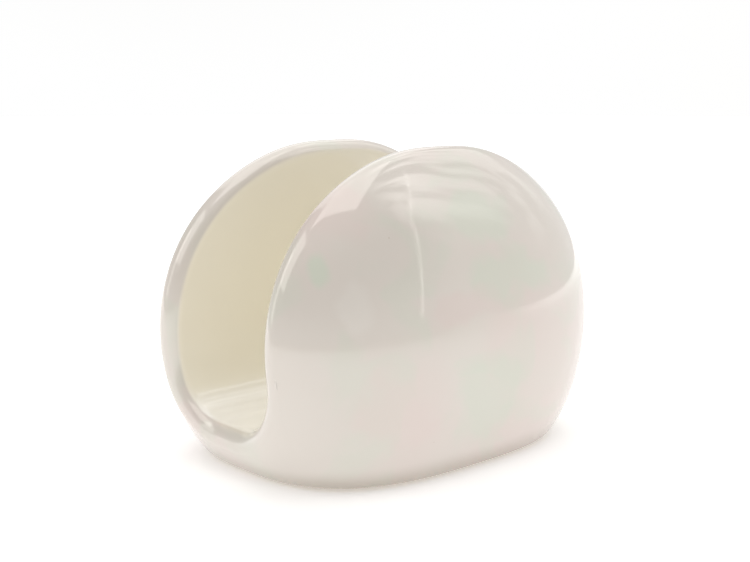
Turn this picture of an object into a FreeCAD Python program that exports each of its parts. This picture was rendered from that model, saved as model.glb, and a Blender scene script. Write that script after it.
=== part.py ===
import FreeCAD, Part
import math
import os
import Sketcher

# Napkin holder: one hollow glazed casting with two domed wings and a napkin slot
# between them, standing on four soft pads that sit in its recessed underside.
# Frame: +X along the slot, +Y across it towards the rear wing, +Z up.
# The origin is at table level, under the middle of the holder.

DIMENSIONS = {
    # outer skin: level sections are rounded rectangles |x/X|^n + |y/Y|^n = 1, whose
    # half extents X and Y are each widest at a level of their own and shrink from there
    # as (1 - (1 - q) t^2 - q t^4)^(1/c), with t from 0 there to 1 where the skin closes
    "section_power": 2.88,         # n, from 2 (an ellipse) upwards (squarer)
    "crown_level": 101.9,          # where X and Y both close above
    "cap_drop": 1.0,               # the skin is cut flat this far below the crown
    "half_length": 70.0,           # X
    "length_level": 40.1,
    "length_rise_quartic": 0.28,   # q above the widest level
    "length_rise_close": 1.525,    # c above it
    "length_fall": 67.2,           # depth below the widest level where X would close
    "length_fall_quartic": -0.065,
    "length_fall_close": 1.905,
    "half_depth": 48.5,            # Y, in the same way
    "depth_level": 30.0,
    "depth_rise_quartic": -0.153,
    "depth_rise_close": 2.837,
    "depth_fall": 48.0,
    "depth_fall_quartic": 0.625,
    "depth_fall_close": 2.072,
    # napkin slot, a little narrower at the top
    "slot_floor": 14.7,
    "slot_top": 105.0,
    "slot_half_low": 22.4,         # half width at the floor
    "slot_half_high": 19.7,        # half width at slot_top
    "slot_run": 160.0,
    "crease_radius": 18.0,         # between floor and walls
    "rim_radius": 4.45,            # rolled rim, all the way round the slot
    # casting
    "wall": 4.0,
    "foot_level": 0.6,             # the pads hold the foot ring off the table
    "foot_edge_radius": 1.5,
    "foot_ring_width": 6.0,
    "recess_depth": 1.2,
    "base_thickness": 4.0,
    "drain_radius": 4.0,
    # pads
    "pad_radius": 5.0,
    "pad_edge_radius": 0.5,
    "pad_x": 34.0,
    "pad_y": 19.0,
}
SECTION_POINTS = 32                # points round a level section
SKIN_LEVELS = 15                   # sections from the foot to the cap
EDGE_LEVELS = 6                    # sections round the foot edge
NEAR = 1e-3                        # tolerance for finding edges by their place

doc = FreeCAD.newDocument("NapkinHolder")
sheet = doc.addObject("Spreadsheet::Sheet", "Dimensions")
for row, (alias, value) in enumerate(DIMENSIONS.items(), start=1):
    sheet.set(f"A{row}", alias)
    sheet.set(f"B{row}", str(value))
    sheet.setAlias(f"B{row}", alias)
doc.recompute()


def size(alias):
    """The value in one cell of the sheet."""
    return float(getattr(sheet, alias))


def cell(alias):
    """The name that an expression uses for one cell of the sheet."""
    return f"Dimensions.{alias}"


# ---------------------------------------------------------------- outer skin
def unit_section():
    """Closed smooth curve |x|^n + |y|^n = 1, as a periodic spline."""
    power = size("section_power")
    points = []
    for i in range(SECTION_POINTS):
        angle = 2 * math.pi * i / SECTION_POINTS
        c, s = math.cos(angle), math.sin(angle)
        reach = (abs(c) ** power + abs(s) ** power) ** (-1 / power)
        points.append(FreeCAD.Vector(reach * c, reach * s, 0))
    curve = Part.BSplineCurve()
    curve.interpolate(Points=points, PeriodicFlag=True)
    return curve


def half_extent(kind, z, inset):
    """Half length or half depth of the skin at a level, drawn in by inset."""
    level = size(kind + "_level")
    if z >= level:
        t = (z - level) / (size("crown_level") - inset - level)
        part = "rise"
    else:
        t = (level - z) / (size(kind + "_fall") - inset)
        part = "fall"
    quartic = size(f"{kind}_{part}_quartic")
    left = 1 - (1 - quartic) * t ** 2 - quartic * t ** 4
    return (size("half_" + kind) - inset) * left ** (1 / size(f"{kind}_{part}_close"))


def skin_rails(bottom, inset, edge):
    """Splines of (half length, half depth, level): round the foot edge, then up the skin."""
    def place(z, drawn_in):
        extents = (half_extent(kind, z, inset) - drawn_in for kind in ("length", "depth"))
        return FreeCAD.Vector(*extents, z)

    start = bottom + edge
    top = size("crown_level") - size("cap_drop") - inset
    turns = [math.pi / 2 * i / (SKIN_LEVELS - 1) for i in range(SKIN_LEVELS)]
    runs = [[place(start + (top - start) * math.sin(turn), 0) for turn in turns]]
    if edge:
        turns = [math.pi / 2 * i / (EDGE_LEVELS - 1) for i in range(EDGE_LEVELS)]
        corner = [
            place(start - edge * math.cos(turn), edge * (1 - math.sin(turn))) for turn in turns
        ]
        runs.insert(0, corner)
    rails = []
    for run in runs:
        rail = Part.BSplineCurve()
        rail.interpolate(Points=run)
        rails.append(rail)
    return rails


def side_surface(rail, section):
    """Surface of the section's shape at every level, stretched to the rail's half extents."""
    poles = [
        [FreeCAD.Vector(r.x * s.x, r.y * s.y, r.z) for s in section.getPoles()]
        for r in rail.getPoles()
    ]
    side = Part.BSplineSurface()
    side.buildFromPolesMultsKnots(
        poles,
        rail.getMultiplicities(), section.getMultiplicities(),
        rail.getKnots(), section.getKnots(),
        False, True,
        rail.Degree, section.Degree,
    )
    return side


def skin_solid(bottom, inset, edge):
    """Solid inside the skin, from a flat bottom with a rounded edge to a small flat cap."""
    rails = skin_rails(bottom, inset, edge)
    section = unit_section()
    sides = [side_surface(rail, section) for rail in rails]
    rings = sides[0].uIso(rails[0].FirstParameter), sides[-1].uIso(rails[-1].LastParameter)
    faces = [side.toShape() for side in sides]
    faces += [Part.Face(Part.Wire(ring.toShape())) for ring in rings]
    shell = Part.makeShell(faces)
    shell.sewShape()
    return Part.makeSolid(shell)


def skin_feature(name, bottom, inset, edge):
    """Document object that holds a skin solid."""
    feature = doc.addObject("Part::Feature", name)
    feature.Shape = skin_solid(bottom, inset, edge)
    return feature


# ---------------------------------------------------------------- shared helpers
def new_sketch(body, name, plane_role):
    """Sketch on one of the body's own base planes."""
    sketch = body.newObject("Sketcher::SketchObject", name)
    plane = next(f for f in body.Origin.OriginFeatures if f.Role == plane_role)
    sketch.AttachmentSupport = [(plane, "")]
    sketch.MapMode = "FlatFace"
    return sketch


def add_driven(sketch, kind, points, value, expression):
    """Dimension between sketch points, driven by an expression."""
    index = sketch.addConstraint(Sketcher.Constraint(kind, *points, value))
    sketch.setExpression(f"Constraints[{index}]", expression)


def edge_numbers(shape, test):
    """Numbers of the edges that lie wholly where a test on points holds."""
    return [
        number for number, edge in enumerate(shape.Edges, start=1)
        if all(test(point) for point in edge.discretize(7))
    ]


def cut(name, base, tool):
    """Base minus tool, as a document object."""
    feature = doc.addObject("Part::Cut", name)
    feature.Base = base
    feature.Tool = tool
    doc.recompute()
    return feature


# ---------------------------------------------------------------- napkin slot
def slot_body(name, clearance):
    """Prism along X with the slot's section, grown by a clearance."""
    body = doc.addObject("PartDesign::Body", name)
    sketch = new_sketch(body, name + "Section", "YZ_Plane")
    low = size("slot_half_low") + clearance
    high = size("slot_half_high") + clearance
    floor = size("slot_floor") - clearance
    top = size("slot_top")
    corners = [(-low, floor), (low, floor), (high, top), (-high, top)]
    for i, corner in enumerate(corners):
        start = FreeCAD.Vector(*corner, 0)
        end = FreeCAD.Vector(*corners[(i + 1) % 4], 0)
        sketch.addGeometry(Part.LineSegment(start, end), False)
    for i in range(4):
        sketch.addConstraint(Sketcher.Constraint("Coincident", i, 2, (i + 1) % 4, 1))
    low_rule = f"{cell('slot_half_low')} + {clearance}"
    high_rule = f"{cell('slot_half_high')} + {clearance}"
    floor_rule = f"{cell('slot_floor')} - {clearance}"
    add_driven(sketch, "DistanceX", (0, 1, -1, 1), low, low_rule)
    add_driven(sketch, "DistanceX", (-1, 1, 1, 1), low, low_rule)
    add_driven(sketch, "DistanceX", (-1, 1, 2, 1), high, high_rule)
    add_driven(sketch, "DistanceX", (3, 1, -1, 1), high, high_rule)
    add_driven(sketch, "DistanceY", (-1, 1, 0, 1), floor, floor_rule)
    add_driven(sketch, "DistanceY", (-1, 1, 1, 1), floor, floor_rule)
    add_driven(sketch, "DistanceY", (-1, 1, 2, 1), top, cell("slot_top"))
    add_driven(sketch, "DistanceY", (-1, 1, 3, 1), top, cell("slot_top"))
    run = body.newObject("PartDesign::Pad", name + "Run")
    run.Profile = sketch
    run.Midplane = True
    run.setExpression("Length", cell("slot_run"))
    doc.recompute()
    return body


def round_creases(body, clearance):
    """Round the slot prism's two floor edges, about the same axes for any clearance."""
    prism = body.Tip
    floor, low = size("slot_floor") - clearance, size("slot_half_low") + clearance
    numbers = edge_numbers(
        prism.Shape, lambda p: abs(p.z - floor) < NEAR and abs(abs(p.y) - low) < NEAR
    )
    crease = body.newObject("PartDesign::Fillet", body.Name + "Creases")
    crease.Base = (prism, [f"Edge{number}" for number in numbers])
    crease.setExpression("Radius", f"{cell('crease_radius')} + {clearance}")
    doc.recompute()


# ---------------------------------------------------------------- ceramic body
def winged_block():
    """The outer skin cut through by the slot, its rim rolled."""
    skin = skin_feature("OuterSkin", size("foot_level"), 0, size("foot_edge_radius"))
    slot = slot_body("NapkinSlot", 0)
    round_creases(slot, 0)
    block = cut("WingedBlock", skin, slot)
    rim = [
        number for number in edge_numbers(block.Shape, lambda p: p.z > size("slot_floor") - NEAR)
        if not isinstance(block.Shape.Edges[number - 1].Curve, Part.Line)
    ]
    rolled = doc.addObject("Part::Fillet", "RolledRim")
    rolled.Base = block
    rolled.Edges = [(number, size("rim_radius"), size("rim_radius")) for number in rim]
    doc.recompute()
    return rolled


def casting_cavity():
    """The hollow left by pouring out the slip: both wings, joined under the trough."""
    wall = size("wall")
    bottom = size("foot_level") + size("recess_depth") + size("base_thickness")
    inner_skin = skin_feature("InnerSkin", bottom, wall, 0)
    trough = slot_body("TroughWall", wall)
    round_creases(trough, wall)
    return cut("CastingCavity", inner_skin, trough)


def underside_recess():
    """Shallow recess inside the foot ring."""
    foot, ring = size("foot_level"), size("foot_ring_width")
    outline = doc.addObject("Part::Feature", "RecessOutline")
    curve = unit_section()
    stretch = FreeCAD.Matrix()
    stretch.scale(half_extent("length", foot, 0) - ring, half_extent("depth", foot, 0) - ring, 1)
    outline.Shape = Part.Wire(curve.toShape().transformGeometry(stretch))
    recess = doc.addObject("Part::Extrusion", "UndersideRecess")
    recess.Base = outline
    recess.DirMode = "Custom"
    recess.Dir = FreeCAD.Vector(0, 0, 1)
    recess.Solid = True
    recess.setExpression("LengthFwd", f"{cell('foot_level')} + {cell('recess_depth')}")
    doc.recompute()
    return recess


def drain_hole():
    """Round hole through the base, where the slip ran out."""
    hole = doc.addObject("Part::Cylinder", "DrainHole")
    hole.setExpression("Radius", cell("drain_radius"))
    hole.setExpression(
        "Height", f"{cell('foot_level')} + {cell('recess_depth')} + {cell('base_thickness')} + 1"
    )
    doc.recompute()
    return hole


def ceramic_body():
    """The whole casting."""
    shape = cut("HollowBlock", winged_block(), casting_cavity())
    shape = cut("FootedBlock", shape, underside_recess())
    shape = cut("CeramicBody", shape, drain_hole())
    shape.Label = "ceramic_body"
    return shape


# ---------------------------------------------------------------- pads
def pad(label, x_sign, y_sign):
    """Soft round pad that fills the recess's depth and reaches the table."""
    name = "".join(word.capitalize() for word in label.split("_"))
    body = doc.addObject("PartDesign::Body", name)
    sketch = new_sketch(body, name + "Outline", "XY_Plane")
    centre = FreeCAD.Vector(0, 0, 0)
    sketch.addGeometry(Part.Circle(centre, FreeCAD.Vector(0, 0, 1), size("pad_radius")), False)
    sketch.addConstraint(Sketcher.Constraint("Coincident", 0, 3, -1, 1))
    add_driven(sketch, "Radius", (0,), size("pad_radius"), cell("pad_radius"))
    disc = body.newObject("PartDesign::Pad", name + "Disc")
    disc.Profile = sketch
    disc.setExpression("Length", f"{cell('foot_level')} + {cell('recess_depth')}")
    doc.recompute()
    numbers = edge_numbers(disc.Shape, lambda p: abs(p.z) < NEAR)
    edge = body.newObject("PartDesign::Fillet", name + "Edge")
    edge.Base = (disc, [f"Edge{number}" for number in numbers])
    edge.setExpression("Radius", cell("pad_edge_radius"))
    body.setExpression("Placement.Base.x", f"{x_sign} * {cell('pad_x')}")
    body.setExpression("Placement.Base.y", f"{y_sign} * {cell('pad_y')}")
    body.Label = label
    doc.recompute()
    return body


# ---------------------------------------------------------------- build and write
sub_parts = [ceramic_body()]
for end, x_sign in (("left", -1), ("right", 1)):
    for side, y_sign in (("front", -1), ("rear", 1)):
        sub_parts.append(pad(f"pad_{side}_{end}", x_sign, y_sign))
doc.recompute()

for item in doc.Objects:
    if {"Invalid", "Error"} & set(item.State):
        raise RuntimeError(f"{item.Name} failed: {item.State}")
for item in sub_parts:
    if item.Shape.isNull() or not item.Shape.isValid() or len(item.Shape.Solids) != 1:
        raise RuntimeError(f"{item.Label} is not one valid solid")

os.makedirs("parts", exist_ok=True)
for item in sub_parts:
    item.Shape.exportStep(f"parts/{item.Label}.step")
    box = item.Shape.BoundBox
    print(item.Label, round(item.Shape.Volume), [round(v, 1) for v in (box.ZMin, box.ZMax)])
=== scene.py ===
"""Looks of a glazed ceramic napkin holder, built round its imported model.

The casting gets one dense, smooth skin whose rows follow the rolled rim, and a glaze
with a mother-of-pearl lustre outside and a plain cream inside the slot. The pads keep
their own meshes and get a silicone finish. Everything is in metres.
"""
import logging
import math
from dataclasses import dataclass
from enum import Enum
from typing import Any

import bpy
import numpy as np
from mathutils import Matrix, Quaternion, Vector


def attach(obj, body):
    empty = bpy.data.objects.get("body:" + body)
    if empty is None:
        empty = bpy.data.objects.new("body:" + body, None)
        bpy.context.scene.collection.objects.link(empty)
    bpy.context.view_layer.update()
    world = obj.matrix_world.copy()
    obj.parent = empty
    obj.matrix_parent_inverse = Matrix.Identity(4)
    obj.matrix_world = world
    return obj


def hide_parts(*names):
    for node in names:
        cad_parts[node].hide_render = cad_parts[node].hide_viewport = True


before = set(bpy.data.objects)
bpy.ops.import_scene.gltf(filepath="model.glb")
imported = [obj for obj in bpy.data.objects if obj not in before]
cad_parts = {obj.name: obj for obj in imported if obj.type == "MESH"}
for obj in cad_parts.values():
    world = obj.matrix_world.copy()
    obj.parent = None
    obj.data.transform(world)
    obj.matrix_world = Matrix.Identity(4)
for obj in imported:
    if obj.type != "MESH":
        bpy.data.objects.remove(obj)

LOG = logging.getLogger("napkin_holder")
MM = 0.001
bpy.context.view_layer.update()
Colour = tuple[float, float, float, float]
Span = tuple[float, float]


# ------------------------------------------------------------------ form
@dataclass(frozen=True)
class Profile:
    """How one half extent of the skin changes with height.

    The extent is widest at one level and shrinks from there as
    (1 - (1 - q) t^2 - q t^4)^(1/c), with t running from 0 to 1 at closing.
    """

    widest: float
    level: float
    crown: float
    rise_quartic: float
    rise_close: float
    fall: float
    fall_quartic: float
    fall_close: float
    least: float = 1e-9

    def at(self, z: float) -> float:
        """Half extent at a height.

        Args:
            z: Height above the table.

        Returns:
            The half extent there.
        """
        if z >= self.level:
            t = (z - self.level) / (self.crown - self.level)
            quartic, close = self.rise_quartic, self.rise_close
        else:
            t = (self.level - z) / self.fall
            quartic, close = self.fall_quartic, self.fall_close
        left = 1 - (1 - quartic) * t**2 - quartic * t**4
        return self.widest * max(left, self.least) ** (1 / close)


@dataclass(frozen=True)
class Skin:
    """The outer skin: level sections |x/X|^n + |y/Y|^n = 1."""

    length: Profile
    depth: Profile
    power: float

    def section(self, angle: float) -> tuple[float, float]:
        """Point of the unit section in a direction.

        Args:
            angle: Direction from +X, in radians.

        Returns:
            The point's x and y.
        """
        c, s = math.cos(angle), math.sin(angle)
        reach = (abs(c) ** self.power + abs(s) ** self.power) ** (-1 / self.power)
        return reach * c, reach * s

    def point(self, angle: float, z: float) -> np.ndarray:
        """Point of the skin.

        Args:
            angle: Direction of the unit section.
            z: Height above the table.

        Returns:
            The point.
        """
        x, y = self.section(angle)
        return np.array((self.length.at(z) * x, self.depth.at(z) * y, z))

    def normal(self, angle: float, z: float) -> np.ndarray:
        """Outward unit normal of the skin.

        Args:
            angle: Direction of the unit section.
            z: Height above the table.

        Returns:
            The unit vector.
        """
        turn, rise = 1e-5, 1e-7
        along = self.point(angle + turn, z) - self.point(angle - turn, z)
        up = self.point(angle, z + rise) - self.point(angle, z - rise)
        across = np.cross(along, up)
        return across / np.linalg.norm(across)


@dataclass(frozen=True)
class Slot:
    """The napkin slot's section: a floor, two rounded creases and two leaning walls."""

    floor: float
    half_floor: float
    lean: float
    crease: float

    @property
    def wall_slope(self) -> float:
        """Length of the wall's direction vector (lean, 1)."""
        return math.hypot(self.lean, 1)

    @property
    def crease_centre(self) -> tuple[float, float]:
        """Centre (y, z) of the crease's round on the rear side."""
        z_wall = self.floor + self.crease * (1 - self.lean / self.wall_slope)
        y_wall = self.half_floor + self.lean * (z_wall - self.floor)
        return y_wall - self.crease / self.wall_slope, self.floor + self.crease

    @property
    def crease_turn(self) -> float:
        """Angle that the crease turns through."""
        return math.atan2(1, self.lean)

    def at(self, run: float) -> tuple[np.ndarray, np.ndarray]:
        """Point and normal of the section at a distance along it.

        Args:
            run: Distance along the section from its middle, towards the rear wall.

        Returns:
            The point (x is 0) and the unit normal that points into the slot.
        """
        y_round, z_round = self.crease_centre
        if run <= y_round:
            return np.array((0, run, self.floor)), np.array((0, 0, 1.0))
        angle = (run - y_round) / self.crease
        if angle <= self.crease_turn:
            normal = np.array((0, -math.sin(angle), math.cos(angle)))
            return np.array((0, y_round, z_round)) - self.crease * normal, normal
        normal = np.array((0, -1, self.lean)) / self.wall_slope
        up = np.array((0, self.lean, 1)) / self.wall_slope
        start = np.array((0, y_round, z_round)) - self.crease * normal
        return start + up * (run - y_round - self.crease * self.crease_turn), normal


@dataclass(frozen=True)
class RimPlace:
    """One place round the rolled rim."""

    centre: np.ndarray
    angle: float
    z: float
    run: float


@dataclass(frozen=True)
class Rim:
    """The rolled rim: a ball that rolls inside the clay, touching skin and slot."""

    skin: Skin
    slot: Slot
    radius: float
    nudge: tuple[float, float, float] = (1e-6, 1e-8, 1e-8)
    tries: int = 12
    closeness: float = 1e-10
    first_step: float = 1.0 * MM
    refinements: int = 3

    def _gap(self, state: np.ndarray) -> tuple[np.ndarray, np.ndarray]:
        """How far a guess is from a ball that touches both surfaces.

        Args:
            state: Skin direction, skin height and run along the slot's section.

        Returns:
            The ball's centre by its skin contact, and its y and z miss.
        """
        angle, z, run = state
        centre = self.skin.point(angle, z) - self.radius * self.skin.normal(angle, z)
        on_slot, normal = self.slot.at(run)
        return centre, (centre - on_slot + self.radius * normal)[1:]

    def _solve(
        self, state: np.ndarray, origin: np.ndarray, way: np.ndarray, step: float
    ) -> np.ndarray:
        """Newton's method for the place one step on.

        Args:
            state: First guess.
            origin: Ball centre that the step is counted from.
            way: Unit direction of the step.
            step: Length of the step.

        Returns:
            The solved state.
        """
        def miss(guess: np.ndarray) -> np.ndarray:
            """The two surface misses and the step's miss."""
            centre, gap = self._gap(guess)
            return np.array((gap[0], gap[1], (centre - origin) @ way - step))

        for _ in range(self.tries):
            now = miss(state)
            slopes = np.empty((3, 3))
            for i, size in enumerate(self.nudge):
                moved = state.copy()
                moved[i] += size
                slopes[:, i] = (miss(moved) - now) / size
            change = np.linalg.solve(slopes, now)
            state = state - change
            if np.abs(now).max() < self.closeness:
                break
        return state

    def _march(self, step: float) -> list[RimPlace]:
        """Places from the lip's middle to the wing's top, at a fixed spacing.

        Args:
            step: Spacing along the ball's path.

        Returns:
            The places; the last lies past the top.
        """
        way = np.array((0, 1.0, 0))
        state = np.array((0, self.slot.floor - self.radius, 0.0))
        state = self._solve(state, np.zeros(3), way, 0.0)
        centre = self._gap(state)[0]
        places = [RimPlace(centre, *state)]
        while places[-1].centre[0] > 0:
            state = self._solve(state, centre, way, step)
            new = self._gap(state)[0]
            way = (new - centre) / np.linalg.norm(new - centre)
            centre = new
            places.append(RimPlace(centre, *state))
        return places

    def places(self, count: int) -> list[RimPlace]:
        """A quarter of the rim in equal steps, from the lip's middle to the wing's top.

        Args:
            count: Number of steps.

        Returns:
            One place more than the steps.
        """
        step = self.first_step
        for _ in range(self.refinements):
            rough = self._march(step)
            before, after = rough[-2].centre[0], rough[-1].centre[0]
            steps = len(rough) - 2 + before / (before - after)
            step *= steps / count
        return self._march(step)[: count + 1]


@dataclass(frozen=True)
class Foot:
    """The underside: foot ring, recess and drain hole."""

    level: float = 0.6 * MM
    edge: float = 1.5 * MM
    ring: float = 6.0 * MM
    recess: float = 1.2 * MM
    base: float = 4.0 * MM
    hole: float = 4.0 * MM
    cave: float = 9.0 * MM
    cave_top: float = 10.7 * MM
    soft: float = 0.45 * MM
    most_share: float = 0.45
    edge_steps: int = 8
    soft_steps: int = 4

    def corners(self, skin: Skin) -> np.ndarray:
        """Stations from the drain hole's blind end out to the foot edge.

        Args:
            skin: The outer skin, for its half extents at the foot.

        Returns:
            One row each of half length, half depth, roundness (1 for a circle) and height.
        """
        long, deep = skin.length.at(self.level), skin.depth.at(self.level)
        ceiling = self.level + self.recess
        return np.array((
            (0, 0, 1, self.cave_top),
            (self.cave, self.cave, 1, self.cave_top),
            (self.cave, self.cave, 1, ceiling + self.base),
            (self.hole, self.hole, 1, ceiling + self.base),
            (self.hole, self.hole, 1, ceiling),
            (long - self.ring, deep - self.ring, 0, ceiling),
            (long - self.ring, deep - self.ring, 0, self.level),
            (long - self.edge, deep - self.edge, 0, self.level),
        ))

    def stations(self, skin: Skin) -> np.ndarray:
        """Every row of the underside, with its corners softened.

        Args:
            skin: The outer skin.

        Returns:
            Rows as in corners, ending where the skin proper starts.
        """
        corners = self.corners(skin)
        rows = [corners[0]]
        for before, corner, after in zip(corners, corners[1:], corners[2:]):
            inwards = corner + (before - corner) * self._share(before - corner)
            outwards = corner + (after - corner) * self._share(after - corner)
            for t in np.linspace(0, 1, self.soft_steps + 1):
                rows.append(
                    (1 - t) ** 2 * inwards + 2 * t * (1 - t) * corner + t**2 * outwards
                )
        for turn in np.linspace(0, math.pi / 2, self.edge_steps + 1):
            z = self.level + self.edge * (1 - math.cos(turn))
            inset = self.edge * (1 - math.sin(turn))
            rows.append(np.array((skin.length.at(z) - inset, skin.depth.at(z) - inset, 0, z)))
        return np.array(rows)

    def _share(self, leg: np.ndarray) -> float:
        """Part of a leg that its corner's softening takes up."""
        return min(self.soft / math.hypot(leg[0], leg[3]), self.most_share)


@dataclass(frozen=True)
class Casting:
    """The glazed casting: one closed skin with the napkin slot rolled into it."""

    skin: Skin = Skin(
        length=Profile(
            widest=70.0 * MM, level=40.1 * MM, crown=101.9 * MM, rise_quartic=0.28,
            rise_close=1.525, fall=67.2 * MM, fall_quartic=-0.065, fall_close=1.905,
        ),
        depth=Profile(
            widest=48.5 * MM, level=30.0 * MM, crown=101.9 * MM, rise_quartic=-0.153,
            rise_close=2.837, fall=48.0 * MM, fall_quartic=0.625, fall_close=2.072,
        ),
        power=2.88,
    )
    slot: Slot = Slot(floor=14.7 * MM, half_floor=22.4 * MM, lean=-2.7 / 90.3, crease=18.0 * MM)
    foot: Foot = Foot()
    rim_radius: float = 4.45 * MM
    quarter_steps: int = 128
    skin_steps: int = 72
    rim_steps: int = 14
    channel_steps: int = 24
    fan: float = 0.8
    weld: float = 0.0005 * MM
    speck: float = 0.0001 * MM

    def build(self) -> bpy.types.Object:
        """Model the casting.

        Returns:
            The finished object, at the origin.
        """
        places = Rim(self.skin, self.slot, self.rim_radius).places(self.quarter_steps)
        outside = self._sheet("outside", self._outer_rows(places))
        channel = self._sheet("channel", self._channel_rows(places))
        deselect_all()
        channel.select_set(True)
        outside.select_set(True)
        bpy.context.view_layer.objects.active = outside
        bpy.ops.object.join()
        outside.name = outside.data.name = "glazed_casting"
        bpy.ops.object.mode_set(mode="EDIT")
        bpy.ops.mesh.select_all(action="SELECT")
        bpy.ops.mesh.remove_doubles(threshold=self.weld)
        bpy.ops.mesh.dissolve_degenerate(threshold=self.speck)
        bpy.ops.mesh.select_all(action="SELECT")
        bpy.ops.mesh.normals_make_consistent(inside=False)
        bpy.ops.object.mode_set(mode="OBJECT")
        bpy.ops.object.shade_smooth()
        return outside

    def dress(self, piece: bpy.types.Object) -> None:
        """Glaze the casting.

        Args:
            piece: The object that build made.
        """
        piece.data.materials.clear()
        piece.data.materials.append(PearlGlaze(self.slot, self.foot).build())

    def _foot_angles(self, places: list[RimPlace]) -> list[float]:
        """Where each column starts at the foot, so that no two columns cross.

        Args:
            places: The quarter's rim places.

        Returns:
            Directions: straight below the lip's rim, then fanned out below the wing.
        """
        half = len(places) // 2
        corner = max(range(half), key=lambda k: places[k].angle)
        turned = places[corner].angle
        shares = np.linspace(0, 1, len(places) - corner) ** self.fan
        below_lip = [place.angle for place in places[:corner]]
        return below_lip + list(turned + (math.pi / 2 - turned) * shares)

    def _quarter(self, places: list[RimPlace]) -> np.ndarray:
        """Columns of a quarter of the outside, from the lip's middle to the wing's top.

        Args:
            places: The quarter's rim places.

        Returns:
            Points as rows by columns by x, y, z, from the blind hole up to the slot.
        """
        stations = self.foot.stations(self.skin)
        round_ = stations[:, 2]
        start = stations[-1, 3]
        columns = []
        for place, angle in zip(places, self._foot_angles(places)):
            x, y = self.skin.section(angle)
            column = np.stack((
                stations[:, 0] * ((1 - round_) * x + round_ * math.cos(angle)),
                stations[:, 1] * ((1 - round_) * y + round_ * math.sin(angle)),
                stations[:, 3],
            ), axis=1)
            rise = [
                self.skin.point(
                    angle + t**2 * (place.angle - angle), start + t * (place.z - start)
                )
                for t in np.linspace(0, 1, self.skin_steps + 1)[1:]
            ]
            outward = self.skin.normal(place.angle, place.z)
            inward = self.slot.at(place.run)[1]
            sweep = math.acos(float(outward @ inward))
            roll = [
                place.centre + self.rim_radius / math.sin(sweep)
                * (math.sin((1 - t) * sweep) * outward + math.sin(t * sweep) * inward)
                for t in np.linspace(0, 1, self.rim_steps + 1)[1:]
            ]
            columns.append(np.concatenate((column, rise, roll)))
        quarter = np.stack(columns, axis=1)
        quarter[:, 0, 1] = 0
        quarter[:, -1, 0] = 0
        return quarter

    def _outer_rows(self, places: list[RimPlace]) -> np.ndarray:
        """The whole outside, once round.

        Args:
            places: The quarter's rim places.

        Returns:
            Points as rows by columns by x, y, z; the last column repeats the first.
        """
        quarter = self._quarter(places)
        half = np.concatenate((quarter, quarter[:, -2::-1] * (-1, 1, 1)), axis=1)
        return np.concatenate((half, half[:, -2::-1] * (1, -1, 1)), axis=1)

    def _channel_rows(self, places: list[RimPlace]) -> np.ndarray:
        """The slot's floor and walls, from one rim to the other.

        Args:
            places: The quarter's rim places.

        Returns:
            Points as rows by columns by x, y, z.
        """
        across = np.linspace(1, -1, self.channel_steps + 1)
        rows = []
        for place in places:
            row = np.tile(self.slot.at(place.run)[0], (self.channel_steps + 1, 1))
            row[:, 0] = place.centre[0] * across
            rows.append(row)
        rear = np.stack(rows)
        rear[0, :, 1] = 0
        rear[-1, :, 0] = 0
        return np.concatenate((rear[:0:-1] * (1, -1, 1), rear))

    def _sheet(self, name: str, points: np.ndarray) -> bpy.types.Object:
        """Grid primitive whose vertices are moved to the given points.

        Args:
            name: Name of the object.
            points: Rows by columns by x, y, z.

        Returns:
            The object.
        """
        rows, columns = points.shape[:2]
        deselect_all()
        bpy.ops.mesh.primitive_grid_add(
            x_subdivisions=columns - 1, y_subdivisions=rows - 1, size=2
        )
        sheet = bpy.context.object
        sheet.name = name
        flat = np.empty(rows * columns * 3)
        sheet.data.vertices.foreach_get("co", flat)
        flat = flat.reshape(-1, 3)
        column = np.rint((flat[:, 0] + 1) / 2 * (columns - 1)).astype(int)
        row = np.rint((flat[:, 1] + 1) / 2 * (rows - 1)).astype(int)
        sheet.data.vertices.foreach_set("co", points[row, column].ravel())
        sheet.data.update()
        return sheet


def deselect_all() -> None:
    """Leave nothing selected."""
    bpy.ops.object.select_all(action="DESELECT")


def direction(azimuth: float, elevation: float) -> Vector:
    """Unit vector from the holder.

    Args:
        azimuth: Degrees round from the front, which faces -Y, towards -X.
        elevation: Degrees above the table.

    Returns:
        The vector.
    """
    turn, rise = math.radians(azimuth), math.radians(elevation)
    return Vector((
        -math.sin(turn) * math.cos(rise), -math.cos(turn) * math.cos(rise), math.sin(rise)
    ))


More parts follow.
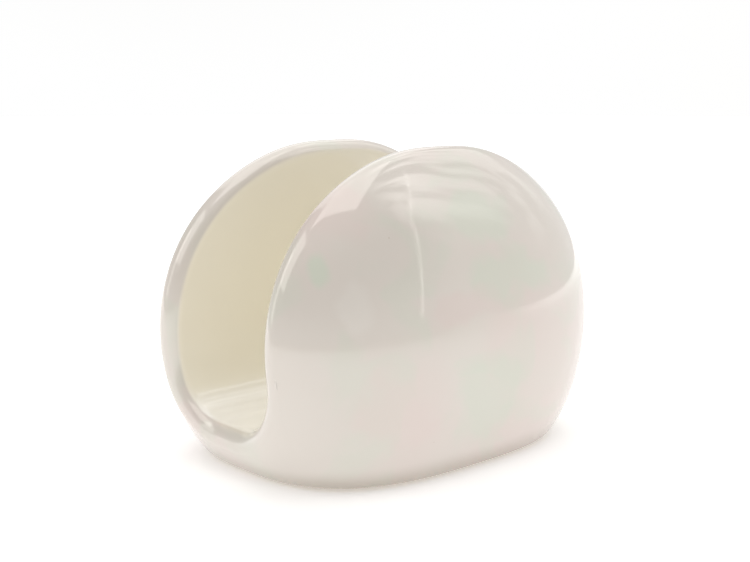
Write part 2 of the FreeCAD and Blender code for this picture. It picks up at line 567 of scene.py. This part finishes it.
# ------------------------------------------------------------------ shader maths
class Wire:
    """A number that runs through a shader; arithmetic on it adds Math nodes."""

    def __init__(self, graph: "Graph", socket: bpy.types.NodeSocket) -> None:
        """Wrap an output socket of a graph."""
        self.graph = graph
        self.socket = socket

    def _math(self, operation: str, *values: Any) -> "Wire":
        """One Math node.

        Args:
            operation: The node's operation.
            values: Its inputs, in order.

        Returns:
            Its result.
        """
        return self.graph.wire(
            "ShaderNodeMath", {"operation": operation}, dict(enumerate(values)), "Value"
        )

    def __add__(self, other: Any) -> "Wire":
        """Sum."""
        return self._math("ADD", self, other)

    __radd__ = __add__

    def __sub__(self, other: Any) -> "Wire":
        """Difference."""
        return self._math("SUBTRACT", self, other)

    def __rsub__(self, other: Any) -> "Wire":
        """Difference from a number."""
        return self._math("SUBTRACT", other, self)

    def __mul__(self, other: Any) -> "Wire":
        """Product."""
        return self._math("MULTIPLY", self, other)

    __rmul__ = __mul__

    def __truediv__(self, other: Any) -> "Wire":
        """Quotient."""
        return self._math("DIVIDE", self, other)

    def __pow__(self, other: Any) -> "Wire":
        """Power."""
        return self._math("POWER", self, other)

    def __abs__(self) -> "Wire":
        """Size without sign."""
        return self._math("ABSOLUTE", self)

    def least(self, other: Any) -> "Wire":
        """The smaller of two."""
        return self._math("MINIMUM", self, other)

    def most(self, other: Any) -> "Wire":
        """The larger of two."""
        return self._math("MAXIMUM", self, other)

    def step(self, start: float, end: float) -> "Wire":
        """Smooth step from 0 at start to 1 at end.

        Args:
            start: Where the step starts.
            end: Where it ends.

        Returns:
            The step.
        """
        settings = {"interpolation_type": "SMOOTHSTEP"}
        inputs = {"Value": self, "From Min": start, "From Max": end}
        return self.graph.wire("ShaderNodeMapRange", settings, inputs, "Result")


class Graph:
    """The nodes of one material or world."""

    def __init__(self, tree: bpy.types.NodeTree) -> None:
        """Take over a node tree and clear it."""
        self.tree = tree
        tree.nodes.clear()

    @staticmethod
    def _find(sockets: Any, key: int | str) -> bpy.types.NodeSocket:
        """A socket by its place, identifier or name.

        Args:
            sockets: A node's inputs or outputs.
            key: What to look for.

        Returns:
            The socket.
        """
        if isinstance(key, int):
            return sockets[key]
        for socket in sockets:
            if socket.identifier == key:
                return socket
        return sockets[key]

    def node(self, kind: str, settings: dict[str, Any], inputs: dict[Any, Any]) -> bpy.types.Node:
        """Add a node.

        Args:
            kind: The node's type.
            settings: Its properties, set first.
            inputs: Values, wires or sockets for its inputs.

        Returns:
            The node.
        """
        node = self.tree.nodes.new(kind)
        for name, value in settings.items():
            setattr(node, name, value)
        for key, value in inputs.items():
            socket = self._find(node.inputs, key)
            if isinstance(value, Wire):
                value = value.socket
            if isinstance(value, bpy.types.NodeSocket):
                self.tree.links.new(value, socket)
            else:
                socket.default_value = value
        return node

    def socket(
        self, kind: str, settings: dict[str, Any], inputs: dict[Any, Any], output: str
    ) -> bpy.types.NodeSocket:
        """Add a node and take one of its outputs."""
        return self._find(self.node(kind, settings, inputs).outputs, output)

    def wire(
        self, kind: str, settings: dict[str, Any], inputs: dict[Any, Any], output: str
    ) -> Wire:
        """Add a node and take one of its outputs as a number."""
        return Wire(self, self.socket(kind, settings, inputs, output))

    def place(self) -> bpy.types.NodeSocket:
        """Object coordinates."""
        return self.socket("ShaderNodeTexCoord", {}, {}, "Object")

    def split(self, vector: bpy.types.NodeSocket) -> tuple[Wire, Wire, Wire]:
        """X, Y and Z of a vector.

        Args:
            vector: The vector.

        Returns:
            Its three numbers.
        """
        node = self.node("ShaderNodeSeparateXYZ", {}, {"Vector": vector})
        return tuple(Wire(self, output) for output in node.outputs)

    def noise(self, vector: bpy.types.NodeSocket, grain: float, **inputs: float) -> Wire:
        """Noise with features about as large as the grain.

        Args:
            vector: Where to read it.
            grain: Size of its features.
            inputs: Other inputs, such as Detail, Roughness and Distortion.

        Returns:
            The noise, about 0.5 on average.
        """
        sockets = {"Vector": vector, "Scale": 1 / grain, **inputs}
        return self.wire("ShaderNodeTexNoise", {"noise_dimensions": "3D"}, sockets, "Fac")

    def mix(self, factor: Any, first: Any, second: Any) -> bpy.types.NodeSocket:
        """Blend of two colours.

        Args:
            factor: How much of the second.
            first: First colour.
            second: Second colour.

        Returns:
            The blended colour.
        """
        settings = {"data_type": "RGBA", "blend_type": "MIX"}
        inputs = {"Factor_Float": factor, "A_Color": first, "B_Color": second}
        return self.socket("ShaderNodeMix", settings, inputs, "Result_Color")


def colour(red: float, green: float, blue: float) -> Colour:
    """Linear colour from screen values.

    Args:
        red: 0 to 255.
        green: 0 to 255.
        blue: 0 to 255.

    Returns:
        Red, green, blue and full alpha.
    """
    def linear(value: float) -> float:
        """One channel, undone from the screen's curve."""
        share = value / 255
        return share / 12.92 if share <= 0.04045 else ((share + 0.055) / 1.055) ** 2.4

    return linear(red), linear(green), linear(blue), 1.0


# ------------------------------------------------------------------ finishes
MINT = colour(214, 223, 208)
ROSE = colour(230, 214, 210)
PALE = colour(235, 232, 226)


@dataclass(frozen=True)
class Patch:
    """A rounded area where the lustre leans to one tint."""

    centre: tuple[float, float, float]
    reach: tuple[float, float, float]
    tint: Colour
    strength: float


@dataclass(frozen=True)
class PearlGlaze:
    """Mother-of-pearl lustre over cream glaze; plain cream glaze inside the slot."""

    slot: Slot
    foot: Foot
    cream: Colour = colour(244, 239, 223)
    pearl: Colour = colour(226, 220, 213)
    # Painted light: a whiter cream for the slot floor, which faces the light from above.
    painted_light_cream: Colour = colour(251, 249, 243)
    clay: Colour = colour(205, 190, 165)
    # Painted shade: colour of the darkening near the foot.
    shadow: Colour = colour(168, 156, 138)
    pinhole: Colour = colour(150, 128, 98)
    drift_grain: float = 55 * MM
    cloud_grain: float = 24 * MM
    edge_grain: float = 12 * MM
    smudge_grain: float = 30 * MM
    smear_grain: float = 9 * MM
    inside_edge: Span = (0.05 * MM, 0.55 * MM)
    bare_rise: Span = (0.05 * MM, 0.5 * MM)
    painted_light_rise: Span = (0.5 * MM, 9.0 * MM)
    foot_shade_rise: Span = (1.0 * MM, 8.0 * MM)
    foot_shade_waver: float = 3 * MM
    rose_share: float = 0.5
    mint_share: float = 0.3
    thin_share: float = 0.08
    foot_shade_share: float = 0.45
    bare_share: float = 0.85
    pinhole_share: float = 0.45
    pinhole_cell: float = 11 * MM
    pinhole_radius: Span = (0.012, 0.026)
    rose_drift: Span = (0.42, 0.62)
    mint_cloud: Span = (0.50, 0.62)
    patch_edge: Span = (0.45, 1.05)
    patch_waver: float = 1.6
    slow_grain: float = 26 * MM
    slow_wave: float = 0.16 * MM
    quick_grain: float = 7 * MM
    quick_wave: float = 0.012 * MM
    pinhole_depth: float = 0.03 * MM
    gloss: float = 0.05
    smear_rough: float = 0.06
    bare_rough: float = 0.6
    pinhole_rough: float = 0.2
    lustre: float = 0.12
    coat: float = 0.6
    coat_rough: float = 0.03
    glaze_ior: float = 1.62
    coat_ior: float = 1.5
    patches: tuple[Patch, ...] = (
        Patch((-2 * MM, -40 * MM, 75 * MM), (19 * MM, 13 * MM, 10 * MM), MINT, 0.6),
        Patch((8 * MM, -45 * MM, 58 * MM), (21 * MM, 10 * MM, 9 * MM), MINT, 0.6),
        Patch((-1 * MM, -48 * MM, 21 * MM), (17 * MM, 9 * MM, 15 * MM), MINT, 0.5),
        Patch((-53 * MM, -33 * MM, 64 * MM), (4 * MM, 5 * MM, 6 * MM), MINT, 0.8),
        Patch((-46 * MM, -40 * MM, 52 * MM), (5 * MM, 6 * MM, 10 * MM), PALE, 0.35),
        Patch((-43 * MM, -27 * MM, 80 * MM), (14 * MM, 14 * MM, 11 * MM), ROSE, 0.5),
        Patch((-12 * MM, -46 * MM, 50 * MM), (15 * MM, 9 * MM, 7 * MM), ROSE, 0.5),
        Patch((-36 * MM, -45 * MM, 24 * MM), (17 * MM, 9 * MM, 15 * MM), ROSE, 0.45),
    )

    def build(self) -> bpy.types.Material:
        """Make the material.

        Returns:
            The glaze.
        """
        material = bpy.data.materials.new("pearl glaze")
        material.use_nodes = True
        graph = Graph(material.node_tree)
        place = graph.place()
        _, y, z = graph.split(place)
        inside = self._inside(y, z)
        bare = 1 - (z - self.foot.level).step(*self.bare_rise)
        # Painted light: the slot floor and its lowest walls are painted whiter, as if lit from
        # above, fading out over the first 9 mm up the walls.
        painted_floor_light = 1 - (z - self.slot.floor).step(*self.painted_light_rise)
        smudge = graph.noise(place, self.smudge_grain, Detail=2.0)
        # Painted shade: the glaze is darkened over its lowest 1 to 8 mm as contact shade at the
        # table, with a wavering top edge.
        painted_foot_shade = 1 - (z + (smudge - 0.5) * self.foot_shade_waver).step(*self.foot_shade_rise)
        pinhole = self._pinholes(graph, place)
        smear = graph.noise(place, self.smear_grain, Detail=3.0)
        uneven = smear * self.smear_rough + bare * self.bare_rough + pinhole * self.pinhole_rough
        tone = graph.mix(inside, self._tone(graph, place), graph.mix(painted_floor_light, self.cream, self.painted_light_cream))
        tone = graph.mix(smudge * self.thin_share, tone, self.clay)
        tone = graph.mix(painted_foot_shade * self.foot_shade_share, tone, self.shadow)
        tone = graph.mix(bare * self.bare_share, tone, self.clay)
        tone = graph.mix(pinhole * self.pinhole_share, tone, self.pinhole)
        shader = graph.node(
            "ShaderNodeBsdfPrincipled", {},
            {
                "Base Color": tone,
                "Roughness": self.gloss + uneven,
                "IOR": self.glaze_ior,
                "Metallic": (1 - inside) * (1 - bare) * self.lustre,
                "Coat Weight": (1 - bare) * self.coat,
                "Coat Roughness": self.coat_rough,
                "Coat IOR": self.coat_ior,
                "Normal": self._waves(graph, place, pinhole),
            },
        )
        graph.node("ShaderNodeOutputMaterial", {}, {"Surface": shader.outputs[0]})
        return material

    def _inside(self, y: Wire, z: Wire) -> Wire:
        """Mask of the slot's own surfaces.

        Args:
            y: Depth coordinate.
            z: Height.

        Returns:
            1 in the slot, 0 on the skin, a soft edge on the rolled rim.
        """
        wall = self.slot.half_floor + (z - self.slot.floor) * self.slot.lean
        sideways = abs(y) - wall + self.slot.crease
        downwards = self.slot.floor + self.slot.crease - z
        corner = (sideways.most(0) ** 2 + downwards.most(0) ** 2) ** 0.5
        past = corner + sideways.most(downwards).least(0) - self.slot.crease
        return 1 - past.step(*self.inside_edge)

    def _tone(self, graph: Graph, place: bpy.types.NodeSocket) -> bpy.types.NodeSocket:
        """Colour of the lustre: pearl, drifting to rose and mint.

        Args:
            graph: Nodes to add to.
            place: Object coordinates.

        Returns:
            The colour.
        """
        drift = graph.noise(place, self.drift_grain, Detail=1.5, Roughness=0.4, Distortion=0.6)
        cloud = graph.noise(place, self.cloud_grain, Detail=2.5, Roughness=0.5, Distortion=0.8)
        tone = graph.mix(drift.step(*self.rose_drift) * self.rose_share, self.pearl, ROSE)
        tone = graph.mix(cloud.step(*self.mint_cloud) * self.mint_share, tone, MINT)
        edge = graph.noise(place, self.edge_grain, Detail=2.0)
        for patch in self.patches:
            scaled = graph.socket(
                "ShaderNodeMapping", {},
                {
                    "Vector": place,
                    "Location": tuple(-c / r for c, r in zip(patch.centre, patch.reach)),
                    "Scale": tuple(1 / r for r in patch.reach),
                },
                "Vector",
            )
            away = graph.wire("ShaderNodeVectorMath", {"operation": "LENGTH"}, {0: scaled}, "Value")
            near = 1 - (away + (edge - 0.5) * self.patch_waver).step(*self.patch_edge)
            tone = graph.mix(near * patch.strength, tone, patch.tint)
        return tone

    def _pinholes(self, graph: Graph, place: bpy.types.NodeSocket) -> Wire:
        """Sparse pinholes in the glaze.

        Args:
            graph: Nodes to add to.
            place: Object coordinates.

        Returns:
            1 in a pinhole, 0 elsewhere.
        """
        away = graph.wire(
            "ShaderNodeTexVoronoi", {"feature": "F1"},
            {"Vector": place, "Scale": 1 / self.pinhole_cell, "Randomness": 1.0}, "Distance",
        )
        return 1 - away.step(*self.pinhole_radius)

    def _waves(
        self, graph: Graph, place: bpy.types.NodeSocket, pinhole: Wire
    ) -> bpy.types.NodeSocket:
        """Slight unevenness of a dipped glaze.

        Args:
            graph: Nodes to add to.
            place: Object coordinates.
            pinhole: Mask of the pinholes.

        Returns:
            The bumped normal.
        """
        slow = graph.noise(place, self.slow_grain, Detail=1.0)
        quick = graph.noise(place, self.quick_grain, Detail=2.0)
        height = slow * self.slow_wave + quick * self.quick_wave - pinhole * self.pinhole_depth
        return graph.socket(
            "ShaderNodeBump", {}, {"Strength": 1.0, "Distance": 1.0, "Height": height}, "Normal"
        )


@dataclass(frozen=True)
class PadRubber:
    """Milky silicone with a satin bloom and a little dust in patches."""

    milky: Colour = colour(214, 212, 204)
    dust: Colour = colour(176, 170, 158)
    cloud_grain: float = 3 * MM
    bump_grain: float = 0.35 * MM
    bump_height: float = 0.03 * MM
    dust_spread: Span = (0.45, 0.75)
    dust_share: float = 0.5
    satin: float = 0.42
    cloud_rough: float = 0.2
    clearness: float = 0.15
    ior: float = 1.41

    def build(self) -> bpy.types.Material:
        """Make the material.

        Returns:
            The rubber.
        """
        material = bpy.data.materials.new("pad rubber")
        material.use_nodes = True
        graph = Graph(material.node_tree)
        place = graph.place()
        cloud = graph.noise(place, self.cloud_grain, Detail=3.0)
        grain = graph.noise(place, self.bump_grain, Detail=2.0)
        tone = graph.mix(cloud.step(*self.dust_spread) * self.dust_share, self.milky, self.dust)
        bump = graph.socket(
            "ShaderNodeBump", {},
            {"Strength": 1.0, "Distance": 1.0, "Height": grain * self.bump_height}, "Normal",
        )
        shader = graph.node(
            "ShaderNodeBsdfPrincipled", {},
            {
                "Base Color": tone,
                "Roughness": self.satin + cloud * self.cloud_rough,
                "IOR": self.ior,
                "Transmission Weight": self.clearness,
                "Normal": bump,
            },
        )
        graph.node("ShaderNodeOutputMaterial", {}, {"Surface": shader.outputs[0]})
        return material


# ------------------------------------------------------------------ studio
class LampKind(Enum):
    """How a light is boxed."""

    SOFT = "soft box"
    STRIP = "strip light"


@dataclass(frozen=True)
class Lamp:
    """An area light that faces the holder."""

    kind: LampKind
    azimuth: float
    elevation: float
    distance: float
    width: float
    height: float
    watts: float
    tint: tuple[float, float, float]
    roll: float = 0.0

    def build(self, number: int, aim: Vector) -> None:
        """Hang the light.

        Args:
            number: For its name.
            aim: The point that it faces.
        """
        way = direction(self.azimuth, self.elevation)
        bpy.ops.object.light_add(type="AREA", location=aim + way * self.distance)
        lamp = bpy.context.object
        lamp.name = f"{self.kind.value} {number}"
        turned = Quaternion((0, 0, 1), math.radians(self.roll))
        lamp.rotation_euler = (way.to_track_quat("Z", "Y") @ turned).to_euler()
        lamp.data.shape = "RECTANGLE"
        lamp.data.size = self.width
        lamp.data.size_y = self.height
        lamp.data.energy = self.watts
        lamp.data.color = self.tint


@dataclass(frozen=True)
class Sheet:
    """A bright cloth in the room, round one direction."""

    azimuth: float
    elevation: float
    reach: Span
    strength: float
    tint: Colour

    def cover(self, graph: Graph, way: bpy.types.NodeSocket) -> Wire:
        """How much of a direction the sheet covers.

        Args:
            graph: Nodes to add to.
            way: The direction.

        Returns:
            0 outside it, rising to its strength at its middle.
        """
        settings = {"operation": "DOT_PRODUCT"}
        inputs = {0: way, 1: direction(self.azimuth, self.elevation)}
        near = graph.wire("ShaderNodeVectorMath", settings, inputs, "Value")
        return near.step(*self.reach) * self.strength


@dataclass(frozen=True)
class Studio:
    """Pale round table, soft light, a dimmer room in front and the camera."""

    floor_radius: float = 3.0
    table_fade: Span = (0.22, 1.1)
    glow_fade: Span = (0.3, 1.6)
    front_fade: Span = (-0.3, 0.3)
    aim_height: float = 50.6 * MM
    azimuth: float = 42.285
    elevation: float = 9.845
    distance: float = 378.85 * MM
    lens: float = 57.38
    shift: float = -0.0092
    sensor: float = 36.0
    clip_start: float = 0.01
    paper: Colour = (0.93, 0.93, 0.93, 1.0)
    near_glow: Colour = (0.30, 0.30, 0.305, 1.0)
    far_glow: Colour = (0.8, 0.8, 0.8, 1.0)
    dim_glow: Colour = (0.35, 0.338, 0.322, 1.0)
    room: Colour = (0.43, 0.405, 0.385, 1.0)
    haze: Colour = (0.68, 0.662, 0.64, 1.0)
    ceiling: Colour = (0.70, 0.69, 0.67, 1.0)
    white: Colour = (1.0, 1.0, 1.0, 1.0)
    wall_rise: Span = (-0.02, 0.36)
    ceiling_rise: Span = (0.50, 0.96)
    behind_reach: Span = (-0.952, -0.87)
    fold_reach: Span = (0.46, 0.58)
    fold_base: float = 0.15
    fold_turn: tuple[float, float, float] = (0.5, 0.7, 0.4)
    fold_stretch: tuple[float, float, float] = (1.2, 7.0, 2.4)
    drape: Sheet = Sheet(
        azimuth=-76.0, elevation=44.0, reach=(0.78, 0.97), strength=1.0,
        tint=(1.95, 1.93, 1.90, 1.0),
    )
    sheets: tuple[Sheet, ...] = (
        Sheet(
            azimuth=-146.0, elevation=27.0, reach=(0.88, 0.98), strength=1.0,
            tint=(0.95, 0.945, 0.93, 1.0),
        ),
        Sheet(
            azimuth=-80.0, elevation=12.0, reach=(0.60, 0.98), strength=0.75,
            tint=(1.0, 0.99, 0.97, 1.0),
        ),
    )
    lamps: tuple[Lamp, ...] = (
        Lamp(
            LampKind.SOFT, azimuth=100.0, elevation=42.0, distance=1.2,
            width=1.0, height=0.7, watts=1.8, tint=(1.0, 0.99, 0.975),
        ),
        Lamp(
            LampKind.SOFT, azimuth=-150.0, elevation=54.0, distance=1.2,
            width=1.1, height=0.9, watts=2.0, tint=(1.0, 0.99, 0.98),
        ),
        Lamp(
            LampKind.SOFT, azimuth=42.0, elevation=86.0, distance=1.0,
            width=0.7, height=0.7, watts=1.4, tint=(1.0, 0.99, 0.98),
        ),
        Lamp(
            LampKind.SOFT, azimuth=124.0, elevation=24.0, distance=1.3,
            width=0.40, height=0.90, watts=0.8, tint=(1.0, 0.99, 0.975),
        ),
        Lamp(
            LampKind.STRIP, azimuth=-31.0, elevation=18.0, distance=1.3,
            width=0.010, height=0.72, watts=0.040, tint=(1.0, 0.985, 0.97), roll=-11.0,
        ),
        Lamp(
            LampKind.STRIP, azimuth=-42.0, elevation=45.0, distance=1.3,
            width=0.008, height=0.72, watts=0.030, tint=(1.0, 0.985, 0.97), roll=-33.0,
        ),
    )

    def build(self) -> None:
        """Set up everything round the holder."""
        self._floor()
        self._world()
        aim = Vector((0, 0, self.aim_height))
        for number, lamp in enumerate(self.lamps, start=1):
            lamp.build(number, aim)
        self._camera(aim)
        bpy.context.scene.view_settings.view_transform = "Standard"

    def _front(self, graph: Graph, vector: bpy.types.NodeSocket) -> Wire:
        """How far a place or direction lies towards the front of the studio.

        Args:
            graph: Nodes to add to.
            vector: The place or direction.

        Returns:
            Its share along the camera's azimuth.
        """
        turn = math.radians(self.azimuth)
        x, y, _ = graph.split(vector)
        return x * -math.sin(turn) + y * -math.cos(turn)

    def _floor(self) -> None:
        """The floor: white paper, darker far off in front."""
        deselect_all()
        bpy.ops.mesh.primitive_circle_add(vertices=128, radius=self.floor_radius, fill_type="NGON")
        floor = bpy.context.object
        floor.name = "studio_floor"
        material = bpy.data.materials.new("studio paper")
        material.use_nodes = True
        graph = Graph(material.node_tree)
        place = graph.place()
        x, y, _ = graph.split(place)
        out = (x * x + y * y) ** 0.5
        side = (self._front(graph, place) / out).step(*self.front_fade)
        dim = out.step(*self.table_fade) * side
        tone = graph.mix(dim, self.paper, self.room)
        glow = graph.mix(out.step(*self.glow_fade), self.near_glow, self.far_glow)
        glow = graph.mix(dim, glow, self.dim_glow)
        shader = graph.node(
            "ShaderNodeBsdfPrincipled", {},
            {
                "Base Color": tone, "Roughness": 0.8,
                "Emission Color": glow, "Emission Strength": 1.0,
            },
        )
        graph.node("ShaderNodeOutputMaterial", {}, {"Surface": shader.outputs[0]})
        floor.data.materials.append(material)

    def _world(self) -> None:
        """Room light: warm and dimmer in front, white behind and overhead."""
        world = bpy.data.worlds.new("studio room")
        bpy.context.scene.world = world
        world.use_nodes = True
        graph = Graph(world.node_tree)
        way = graph.socket("ShaderNodeTexCoord", {}, {}, "Generated")
        up = graph.split(way)[2]
        tone = graph.mix(up.step(*self.wall_rise), self.haze, self.room)
        tone = graph.mix(self._front(graph, way).step(*self.behind_reach), self.white, tone)
        tone = graph.mix(up.step(*self.ceiling_rise), tone, self.ceiling)
        creased = graph.socket(
            "ShaderNodeMapping", {},
            {"Vector": way, "Rotation": self.fold_turn, "Scale": self.fold_stretch}, "Vector",
        )
        folds = graph.noise(creased, 1.0, Detail=2.5, Roughness=0.55, Distortion=0.7)
        draped = self.drape.cover(graph, way) * (self.fold_base + folds.step(*self.fold_reach))
        tone = graph.mix(draped, tone, self.drape.tint)
        for sheet in self.sheets:
            tone = graph.mix(sheet.cover(graph, way), tone, sheet.tint)
        shade = graph.node("ShaderNodeBackground", {}, {"Color": tone, "Strength": 1.0})
        graph.node("ShaderNodeOutputWorld", {}, {"Surface": shade.outputs[0]})

    def _camera(self, aim: Vector) -> None:
        """The camera.

        Args:
            aim: The point that it looks at.
        """
        back = direction(self.azimuth, self.elevation)
        bpy.ops.object.camera_add(location=aim + back * self.distance)
        camera = bpy.context.object
        camera.rotation_euler = back.to_track_quat("Z", "Y").to_euler()
        camera.data.sensor_width = self.sensor
        camera.data.lens = self.lens
        camera.data.shift_x = self.shift
        camera.data.clip_start = self.clip_start
        bpy.context.scene.camera = camera


# ------------------------------------------------------------------ build
@dataclass(frozen=True)
class Pads:
    """The four pads, which keep the frame's own meshes."""

    prefix: str = "pad_"

    def dress(self) -> None:
        """Put the rubber on every pad."""
        rubber = PadRubber().build()
        for name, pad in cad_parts.items():
            if not name.startswith(self.prefix):
                continue
            for slot in pad.material_slots:
                slot.material = rubber
            if not pad.material_slots:
                pad.data.materials.append(rubber)
            LOG.info("%s dressed", name)


def main() -> None:
    """Build the holder's looks, then the studio."""
    casting = Casting()
    body = casting.build()
    casting.dress(body)
    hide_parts("ceramic_body")
    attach(body, "root")
    LOG.info("casting built: %d faces", len(body.data.polygons))
    Pads().dress()
    Studio().build()
    LOG.info("studio built")


if __name__ == "__main__":
    logging.basicConfig(level=logging.INFO, format="%(name)s: %(message)s")
    main()
